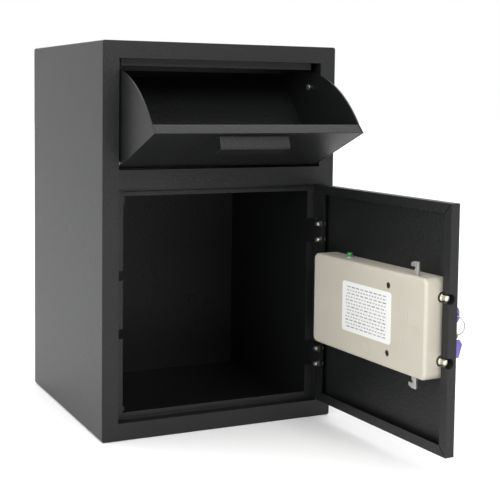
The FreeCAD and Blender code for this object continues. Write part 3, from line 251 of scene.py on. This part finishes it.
deselect()
bpy.ops.mesh.primitive_circle_add(vertices=40, radius=stem_radius, fill_type="NGON",
                                  location=(0, 0, 0))
shade_plug = bpy.context.object
bpy.ops.object.mode_set(mode="EDIT")
bpy.ops.mesh.select_all(action="SELECT")
bpy.ops.mesh.extrude_region_move(TRANSFORM_OT_translate={"value": (0, 0, stem_length)})
bpy.ops.transform.resize(value=(flange_share, flange_share, 1))
bpy.ops.mesh.extrude_region_move(TRANSFORM_OT_translate={"value": (0, 0, flange_thickness)})
bpy.ops.mesh.inset(thickness=dome_inset)
bpy.ops.transform.translate(value=(0, 0, dome_rise))
bpy.ops.mesh.select_all(action="SELECT")
bpy.ops.mesh.normals_make_consistent(inside=False)
bpy.ops.object.mode_set(mode="OBJECT")
bpy.ops.object.shade_smooth_by_angle(angle=math.radians(35))
coat(shade_plug, rubber)
# Each copy is a dark disc of painted shade in one anchor hole.
for name, x, z in (("low_right", hole_x, hole_low), ("low_left", -hole_x, hole_low),
                   ("high_right", hole_x, hole_high), ("high_left", -hole_x, hole_high)):
    twin = bpy.data.objects.new("anchor_shade_plug_" + name, shade_plug.data.copy())
    bpy.context.scene.collection.objects.link(twin)
    twin.data.transform(Matrix.Translation((x, stem_end_y, z))
                        @ Matrix.Rotation(math.radians(90), 4, "X"))
    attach(twin, "cabinet")
bpy.data.objects.remove(shade_plug)

# --- Door ----------------------------------------------------------------------
# A pan folded from 2 mm steel with return lips mitred at the corners, coated like
# the cabinet. Cranked hinge arms are screwed to the inside of its right-hand lip.

soften("door_panel", powder_coat, radius=0.0007)
soften("hinge_arms", powder_coat, radius=0.0004)
soften("hinge_screws", zinc, radius=0.0005)

# Nickel plate on polished steel, for nuts, bolts and key blades: warm and bright,
# with smears about 3 mm across that soften the shine.
nickel, tree, shader, place = start_material("polished_nickel_plate")
smear = add_node(tree, "ShaderNodeTexNoise",
                 {"Vector": place, "Scale": 320.0, "Detail": 3.0, "Roughness": 0.5})
tint = add_node(tree, "ShaderNodeMix",
                {"Factor": smear.outputs["Fac"], "A": linear("#CFC9BC"), "B": linear("#E6E1D6")},
                data_type="RGBA")
gloss = add_node(tree, "ShaderNodeMapRange",
                 {"Value": smear.outputs["Fac"], "To Min": 0.12, "To Max": 0.3})
connect(tree, shader, {"Base Color": tint.outputs["Result"],
                       "Roughness": gloss.outputs["Result"], "Metallic": 1.0})
soften("hinge_nuts", nickel, radius=0.0005)

# --- Lock works ----------------------------------------------------------------
# Stepped bolts on a stamped carriage, worked by the knob's crank, all behind the
# cover: nickel-plated bolts, zinc-plated carriage, lugs and base plate.

soften("lock_bolts", nickel, radius=0.0009, segments=3)
lock_edges = {
    "lock_base_plate": 0.0002, "bolt_carriage": 0.0002, "rod_lugs": 0.0005,
    "knob_spindle": 0.0003, "solenoid_body": 0.0006, "solenoid_plunger": 0.0003,
}
for name, radius in lock_edges.items():
    soften(name, zinc, radius)

# Glass-fibre circuit board under green solder mask: the copper tracks stand proud
# and show through as a paler green.
board, tree, shader, place = start_material("green_solder_mask_board")
tracks = add_node(tree, "ShaderNodeTexBrick",
                  {"Vector": place, "Scale": 300.0, "Color1": linear("#0E4A22"),
                   "Color2": linear("#0A3A1A"), "Mortar": linear("#1F7A3C"),
                   "Mortar Size": 0.06, "Brick Width": 1.6, "Row Height": 0.5})
bump = add_node(tree, "ShaderNodeBump",
                {"Strength": 0.4, "Distance": 0.0001, "Height": tracks.outputs["Fac"]})
connect(tree, shader, {"Base Color": tracks.outputs["Color"],
                       "Normal": bump.outputs["Normal"], "Roughness": 0.3})
soften("circuit_board", board, radius=0.0001)

# Dry cells in a printed shrink sleeve: a copper-coloured band over a dark body.
sleeve, tree, shader, place = start_material("printed_shrink_sleeve")
band = add_node(tree, "ShaderNodeTexWave",
                {"Vector": place, "Scale": 9.0, "Distortion": 0.0},
                wave_type="BANDS", bands_direction="Y")
upper = add_node(tree, "ShaderNodeMath", {0: band.outputs["Fac"], 1: 0.29},
                 operation="GREATER_THAN")
tint = add_node(tree, "ShaderNodeMix",
                {"Factor": upper.outputs["Value"], "A": linear("#1A1A1C"), "B": linear("#A5622A")},
                data_type="RGBA")
connect(tree, shader, {"Base Color": tint.outputs["Result"], "Roughness": 0.28})
soften("battery_cells", sleeve, radius=0.0008)

# --- Lock cover ----------------------------------------------------------------
# One injection-moulded ABS shell, rounded at its corners and held to the inside of the
# door by two countersunk screws.

# ABS from a spark-textured tool: a warm grey that scatters its highlights. The spark
# grain is drawn under 1 mm, and the flow of the melt shades it over about 50 mm.
cover_abs, tree, shader, place = start_material("warm_grey_moulded_abs")
spark = add_node(tree, "ShaderNodeTexNoise",
                 {"Vector": place, "Scale": 1300.0, "Detail": 2.0, "Roughness": 0.5})
flow = add_node(tree, "ShaderNodeTexNoise",
                {"Vector": place, "Scale": 20.0, "Detail": 2.0, "Roughness": 0.4})
tint = add_node(tree, "ShaderNodeMix",
                {"Factor": flow.outputs["Fac"], "A": linear("#ADA89B"), "B": linear("#B6B1A4")},
                data_type="RGBA")
gloss = add_node(tree, "ShaderNodeMapRange",
                 {"Value": spark.outputs["Fac"], "To Min": 0.38, "To Max": 0.56})
bump = add_node(tree, "ShaderNodeBump",
                {"Strength": 0.3, "Distance": 0.00006, "Height": spark.outputs["Fac"]})
connect(tree, shader, {"Base Color": tint.outputs["Result"],
                       "Roughness": gloss.outputs["Result"],
                       "Normal": bump.outputs["Normal"], "IOR": 1.53})
soften("lock_cover", cover_abs, radius=0.0004)

# Countersunk screws with a dark passivate, cloudy in patches of 2 mm, that lets only
# the rims catch light.
dark_zinc, tree, shader, place = start_material("dark_passivated_steel")
cloud = add_node(tree, "ShaderNodeTexNoise",
                 {"Vector": place, "Scale": 500.0, "Detail": 2.0, "Roughness": 0.5})
tint = add_node(tree, "ShaderNodeMix",
                {"Factor": cloud.outputs["Fac"], "A": linear("#4C4B47"), "B": linear("#6E6C66")},
                data_type="RGBA")
connect(tree, shader, {"Base Color": tint.outputs["Result"],
                       "Metallic": 1.0, "Roughness": 0.42})
soften("cover_screws", dark_zinc, radius=0.0004)

# --- Cover mouldings -----------------------------------------------------------
# Shallow marks left by the cover's tool, 0.3 mm proud of its face: a round ejector
# boss, a T-shaped rib near the bolts and a slot's rim at the far end.

hinge_x, hinge_y = 0.1462, -0.1541
door_open = math.radians(93)
door_place = Matrix.Translation((hinge_x, hinge_y, 0)) @ Matrix.Rotation(door_open, 4, "Z")
cover_face_y = 0.0266


def emboss(name, x, z, reach_x, reach_z, sides, rim):
    """A raised rim on the cover's face, x along from the hinge and z high."""
    proud, sunk = 0.0003, 0.0002
    deselect()
    bpy.ops.mesh.primitive_circle_add(vertices=sides, radius=1, fill_type="NGON",
                                      rotation=(0, 0, math.pi / sides))
    mark = bpy.context.object
    mark.name = name
    bpy.ops.object.transform_apply(rotation=True)
    widest = max(abs(v.co.x) for v in mark.data.vertices)
    mark.scale = (reach_x / widest, reach_z / widest, 1)
    bpy.ops.object.transform_apply(scale=True)
    bpy.ops.object.mode_set(mode="EDIT")
    bpy.ops.mesh.select_all(action="SELECT")
    bpy.ops.mesh.extrude_region_move(TRANSFORM_OT_translate={"value": (0, 0, proud)})
    bpy.ops.mesh.inset(thickness=rim)
    bpy.ops.transform.translate(value=(0, 0, -sunk))
    bpy.ops.mesh.select_all(action="SELECT")
    bpy.ops.mesh.normals_make_consistent(inside=False)
    bpy.ops.object.mode_set(mode="OBJECT")
    stand = (Matrix.Translation((x, cover_face_y, z))
             @ Matrix.Rotation(math.radians(-90), 4, "X"))
    mark.data.transform(door_place @ stand)
    bpy.ops.object.shade_smooth_by_angle(angle=math.radians(30))
    coat(mark, cover_abs)
    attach(mark, "door")


emboss("cover_boss_outer", x=-0.1550, z=0.1265, reach_x=0.0085, reach_z=0.0085, sides=48, rim=0.0012)
emboss("cover_rib_upright", x=-0.2350, z=0.1685, reach_x=0.0011, reach_z=0.0200, sides=4, rim=0.0004)
emboss("cover_rib_level", x=-0.2450, z=0.1705, reach_x=0.0088, reach_z=0.0010, sides=4, rim=0.0004)
emboss("cover_slot_rim", x=-0.0480, z=0.1660, reach_x=0.0024, reach_z=0.0095, sides=24, rim=0.0007)

# --- Instruction label ---------------------------------------------------------
# A sheet of vinyl film stuck on the cover, printed with thirteen lines of small text
# about 4 mm apart, which plain strokes stand for.

# White vinyl with a soft shine. A brick pattern gives each line its word-long dashes,
# and the margins stay clear.
film_white = linear("#DCDCDA")
margin_left, margin_right = 0.008, 0.094
margin_low, margin_high = 0.0046, 0.0585
label_low, label_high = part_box("instruction_label")

label_film, tree, shader, place = start_material("printed_white_vinyl")
axes = add_node(tree, "ShaderNodeSeparateXYZ", {"Vector": place})
along = add_node(tree, "ShaderNodeMath", {0: label_high.y, 1: axes.outputs["Y"]},
                 operation="SUBTRACT").outputs["Value"]
up = add_node(tree, "ShaderNodeMath", {0: axes.outputs["Z"], 1: label_low.z},
              operation="SUBTRACT").outputs["Value"]
page = add_node(tree, "ShaderNodeCombineXYZ", {"X": along, "Y": up})
words = add_node(tree, "ShaderNodeTexBrick",
                 {"Vector": page.outputs["Vector"], "Scale": 100.0,
                  "Color1": linear("#7D7D80"), "Color2": linear("#ABABAE"),
                  "Mortar": film_white, "Mortar Size": 0.15, "Mortar Smooth": 0.3,
                  "Brick Width": 0.95, "Row Height": 0.42},
                 offset=0.37, offset_frequency=3, squash=0.62, squash_frequency=2)
inside = 1.0
for value, edge, test in ((along, margin_left, "GREATER_THAN"),
                          (along, margin_right, "LESS_THAN"),
                          (up, margin_low, "GREATER_THAN"),
                          (up, margin_high, "LESS_THAN")):
    within = add_node(tree, "ShaderNodeMath", {0: value, 1: edge}, operation=test)
    inside = add_node(tree, "ShaderNodeMath", {0: inside, 1: within.outputs["Value"]},
                      operation="MULTIPLY").outputs["Value"]
ink = add_node(tree, "ShaderNodeMix",
               {"Factor": inside, "A": film_white, "B": words.outputs["Color"]},
               data_type="RGBA")
connect(tree, shader, {"Base Color": ink.outputs["Result"], "Roughness": 0.32})
soften("instruction_label", label_film, radius=0)

# --- Reset button --------------------------------------------------------------
# A small push cap moulded in ABS, on a stem that slides in a clear bush. The bush is
# pressed into the cover's upper edge.

# Clear polycarbonate bush: nearly white, with the stem showing through it.
clear_bush, tree, shader, place = start_material("clear_polycarbonate")
flow = add_node(tree, "ShaderNodeTexNoise", {"Vector": place, "Scale": 300.0, "Detail": 1.0})
tint = add_node(tree, "ShaderNodeMix",
                {"Factor": flow.outputs["Fac"], "A": linear("#DADCD8"), "B": linear("#F2F3F0")},
                data_type="RGBA")
connect(tree, shader, {"Base Color": tint.outputs["Result"], "Roughness": 0.12,
                       "Transmission Weight": 0.7, "IOR": 1.58})
soften("reset_button_base", clear_bush, radius=0.0005)

# Green ABS from a polished tool: a deep colour with a hard, small highlight.
green_abs, tree, shader, place = start_material("glossy_green_abs")
flow = add_node(tree, "ShaderNodeTexNoise", {"Vector": place, "Scale": 400.0, "Detail": 1.0})
tint = add_node(tree, "ShaderNodeMix",
                {"Factor": flow.outputs["Fac"], "A": linear("#1F7F3D"), "B": linear("#2A9249")},
                data_type="RGBA")
connect(tree, shader, {"Base Color": tint.outputs["Result"], "Roughness": 0.25})
soften("reset_button", green_abs, radius=0.0008, segments=3)

# --- Lock panel ----------------------------------------------------------------
# A housing moulded in ABS and fixed to the outside of the door, with the keypad, the
# knob and the status lamp. The battery tray on the inside is moulded to match.

# Black ABS with a fine texture: near black and dull, so that the keys stand out. The
# texture is drawn at just under 1 mm.
panel_abs, tree, shader, place = start_material("black_moulded_abs")
spark = add_node(tree, "ShaderNodeTexNoise",
                 {"Vector": place, "Scale": 1200.0, "Detail": 2.0, "Roughness": 0.5})
tint = add_node(tree, "ShaderNodeMix",
                {"Factor": spark.outputs["Fac"], "A": linear("#1B1C1E"), "B": linear("#26272A")},
                data_type="RGBA")
bump = add_node(tree, "ShaderNodeBump",
                {"Strength": 0.3, "Distance": 0.00006, "Height": spark.outputs["Fac"]})
connect(tree, shader, {"Base Color": tint.outputs["Result"],
                       "Normal": bump.outputs["Normal"], "Roughness": 0.42})
soften("lock_panel", panel_abs, radius=0, flatten=False)
soften("knob", panel_abs, radius=0.0012, segments=3)

# White pad-printing ink, for the digits and the pointer: thin and a little worn.
pad_print, tree, shader, place = start_material("white_pad_print")
wear = add_node(tree, "ShaderNodeTexNoise", {"Vector": place, "Scale": 900.0, "Detail": 2.0})
tint = add_node(tree, "ShaderNodeMix",
                {"Factor": wear.outputs["Fac"], "A": linear("#D8D8D4"), "B": linear("#F4F4F0")},
                data_type="RGBA")
connect(tree, shader, {"Base Color": tint.outputs["Result"], "Roughness": 0.5})

upright = Vector((0, 0, 1))
door_out = Vector((math.sin(door_open), -math.cos(door_open), 0))
facing_out = Matrix((upright.cross(door_out), upright, door_out)).transposed().to_4x4()


def print_mark(mark, node, lift, rise=0.0):
    """A flat mark printed on the outer face of a node, rise above its middle."""
    low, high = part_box(node)
    middle = (low + high) / 2
    face = max((v.co - middle).dot(door_out) for v in frame["nodes"][node].data.vertices)
    spot = middle + door_out * (face + lift) + upright * rise
    mark.data.transform(Matrix.Translation(spot) @ facing_out)
    coat(mark, pad_print)
    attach(mark, frame["nodes"][node]["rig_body"])


# The knob's pointer: a short printed bar near the upper end of its grip.
pointer_width, pointer_length = 0.0016, 0.0085
ink_thickness = 0.00008

deselect()
bpy.ops.mesh.primitive_plane_add(size=1, location=(0, 0, 0))
pointer = bpy.context.object
pointer.name = "knob_pointer"
pointer.scale = (pointer_width, pointer_length, 1)
bpy.ops.object.transform_apply(scale=True)
bpy.ops.object.mode_set(mode="EDIT")
bpy.ops.mesh.select_all(action="SELECT")
bpy.ops.mesh.extrude_region_move(TRANSFORM_OT_translate={"value": (0, 0, ink_thickness)})
bpy.ops.mesh.select_all(action="SELECT")
bpy.ops.mesh.normals_make_consistent(inside=False)
bpy.ops.object.mode_set(mode="OBJECT")
print_mark(pointer, "knob", lift=0.00001, rise=0.0105)
soften("battery_tray", panel_abs, radius=0.0003)

# Keypad caps: dark grey ABS, satin, rubbed a little paler in patches of 6 mm.
cap_abs, tree, shader, place = start_material("satin_grey_abs")
wear = add_node(tree, "ShaderNodeTexNoise",
                {"Vector": place, "Scale": 180.0, "Detail": 3.0, "Roughness": 0.5})
tint = add_node(tree, "ShaderNodeMix",
                {"Factor": wear.outputs["Fac"], "A": linear("#55585C"), "B": linear("#666A6E")},
                data_type="RGBA")
connect(tree, shader, {"Base Color": tint.outputs["Result"], "Roughness": 0.38})

digit_height = 0.0085
for key in ("1", "2", "3", "4", "5", "6", "7", "8", "9", "clear", "0", "enter"):
    name = "key_" + key
    soften(name, cap_abs, radius=0.0007)
    deselect()
    bpy.ops.object.text_add(location=(0, 0, 0))
    digit = bpy.context.object
    digit.name = name + "_mark"
    digit.data.body = key[0].upper()
    digit.data.size = digit_height
    digit.data.align_x = "CENTER"
    digit.data.align_y = "CENTER"
    digit.data.extrude = ink_thickness / 2
    digit.data.resolution_u = 3
    bpy.ops.object.convert(target="MESH")
    print_mark(digit, name, lift=0.00003)

# Status lamp: a domed acrylic lens over the panel's diode, deep red and clear enough
# for light to pass.
red_lens, tree, shader, place = start_material("red_acrylic_lens")
depth = add_node(tree, "ShaderNodeTexNoise", {"Vector": place, "Scale": 500.0, "Detail": 1.0})
tint = add_node(tree, "ShaderNodeMix",
                {"Factor": depth.outputs["Fac"], "A": linear("#7E0E0C"), "B": linear("#A61512")},
                data_type="RGBA")
connect(tree, shader, {"Base Color": tint.outputs["Result"], "Roughness": 0.1,
                       "Transmission Weight": 0.3})
soften("status_lens", red_lens, radius=0.0007, segments=3)

# --- Emergency key -------------------------------------------------------------
# A nickel-plated cylinder through the door with its plug and key, a ring of zinc
# plated wire, and the spare key. Each head is moulded over its blade.

key_edges = {
    "key_cylinder": 0.0005, "key_plug": 0.0004, "key_blade": 0.0003, "spare_key_blade": 0.0003,
}
for name, radius in key_edges.items():
    soften(name, nickel, radius)

# Blue plastic that lets some light in: cloudy in swirls of about 6 mm, with a gloss.
blue_head, tree, shader, place = start_material("translucent_blue_plastic")
swirl = add_node(tree, "ShaderNodeTexNoise",
                 {"Vector": place, "Scale": 160.0, "Detail": 2.0, "Roughness": 0.5})
tint = add_node(tree, "ShaderNodeMix",
                {"Factor": swirl.outputs["Fac"], "A": linear("#4E4CB4"), "B": linear("#7C7AD6")},
                data_type="RGBA")
connect(tree, shader, {"Base Color": tint.outputs["Result"], "Roughness": 0.22,
                       "Transmission Weight": 0.25, "Subsurface Weight": 0.15})
for name in ("key_head", "spare_key_head"):
    soften(name, blue_head, radius=0.0009, segments=3)
soften("key_ring", zinc, radius=0)

# --- Studio --------------------------------------------------------------------
# A white floor and sky for the box to stand in, with a large soft light from the left
# and a weaker one in front.

floor_size, floor_gap = 30, 0.0006

deselect()
bpy.ops.mesh.primitive_plane_add(size=floor_size, location=(0, 0, -floor_gap))
floor = bpy.context.object
floor.name = "floor"
floor_paint, _, shader, _ = start_material("white_floor")
shader.inputs["Base Color"].default_value = linear("#FAFAFA")
shader.inputs["Roughness"].default_value = 0.9
coat(floor, floor_paint)

# The sky is dim in front, full behind the object and brightest overhead.
world = bpy.data.worlds.new("sky")
bpy.context.scene.world = world
world.use_nodes = True
tree = world.node_tree
way = add_node(tree, "ShaderNodeSeparateXYZ",
               {"Vector": add_node(tree, "ShaderNodeTexCoord").outputs["Generated"]})
behind = add_node(tree, "ShaderNodeMapRange",
                  {"Value": way.outputs["Y"], "From Min": -0.3, "From Max": 0.4,
                   "To Min": 0.22, "To Max": 1.0})
above = add_node(tree, "ShaderNodeMapRange",
                 {"Value": way.outputs["Z"], "From Min": 0.5, "From Max": 0.85,
                  "To Min": 0.0, "To Max": 1.4})
both = add_node(tree, "ShaderNodeMath",
                {0: behind.outputs["Result"], 1: above.outputs["Result"]}, operation="ADD")
connect(tree, tree.nodes["Background"], {"Color": (1, 1, 1, 1),
                                         "Strength": both.outputs["Value"]})


def lamp(name, stand_at, aim, size, power):
    """A soft box of light, turned to its aim."""
    data = bpy.data.lights.new(name, "AREA")
    data.shape = "RECTANGLE"
    data.size, data.size_y = size
    data.energy = power
    light = bpy.data.objects.new(name, data)
    bpy.context.scene.collection.objects.link(light)
    light.location = stand_at
    light.rotation_euler = (Vector(aim) - Vector(stand_at)).to_track_quat("-Z", "Y").to_euler()


lamp("left_light", (-2.6, -1.5, 1.0), (0, -0.1, 0.25), size=(1.4, 1.8), power=50)
lamp("front_light", (0.0, -2.7, 1.9), (0, -0.2, 0.2), size=(1.6, 1.2), power=42)

# The camera stands in front, to the left of the box and a little below its top.
view = bpy.data.cameras.new("view")
view.sensor_width = 36
view.lens = 79.82
view.shift_y = -0.14
stand_at = (-0.5881, -1.4570, 0.4331)
heading, tilt_down, roll = (math.radians(a) for a in (-25.774, 4.298, 0.708))
camera = bpy.data.objects.new("view", view)
bpy.context.scene.collection.objects.link(camera)
camera.matrix_world = (Matrix.Translation(stand_at)
                       @ Matrix.Rotation(heading, 4, "Z")
                       @ Matrix.Rotation(math.radians(90) - tilt_down, 4, "X")
                       @ Matrix.Rotation(roll, 4, "Z"))
bpy.context.scene.camera = camera
bpy.context.scene.view_settings.view_transform = "Standard"
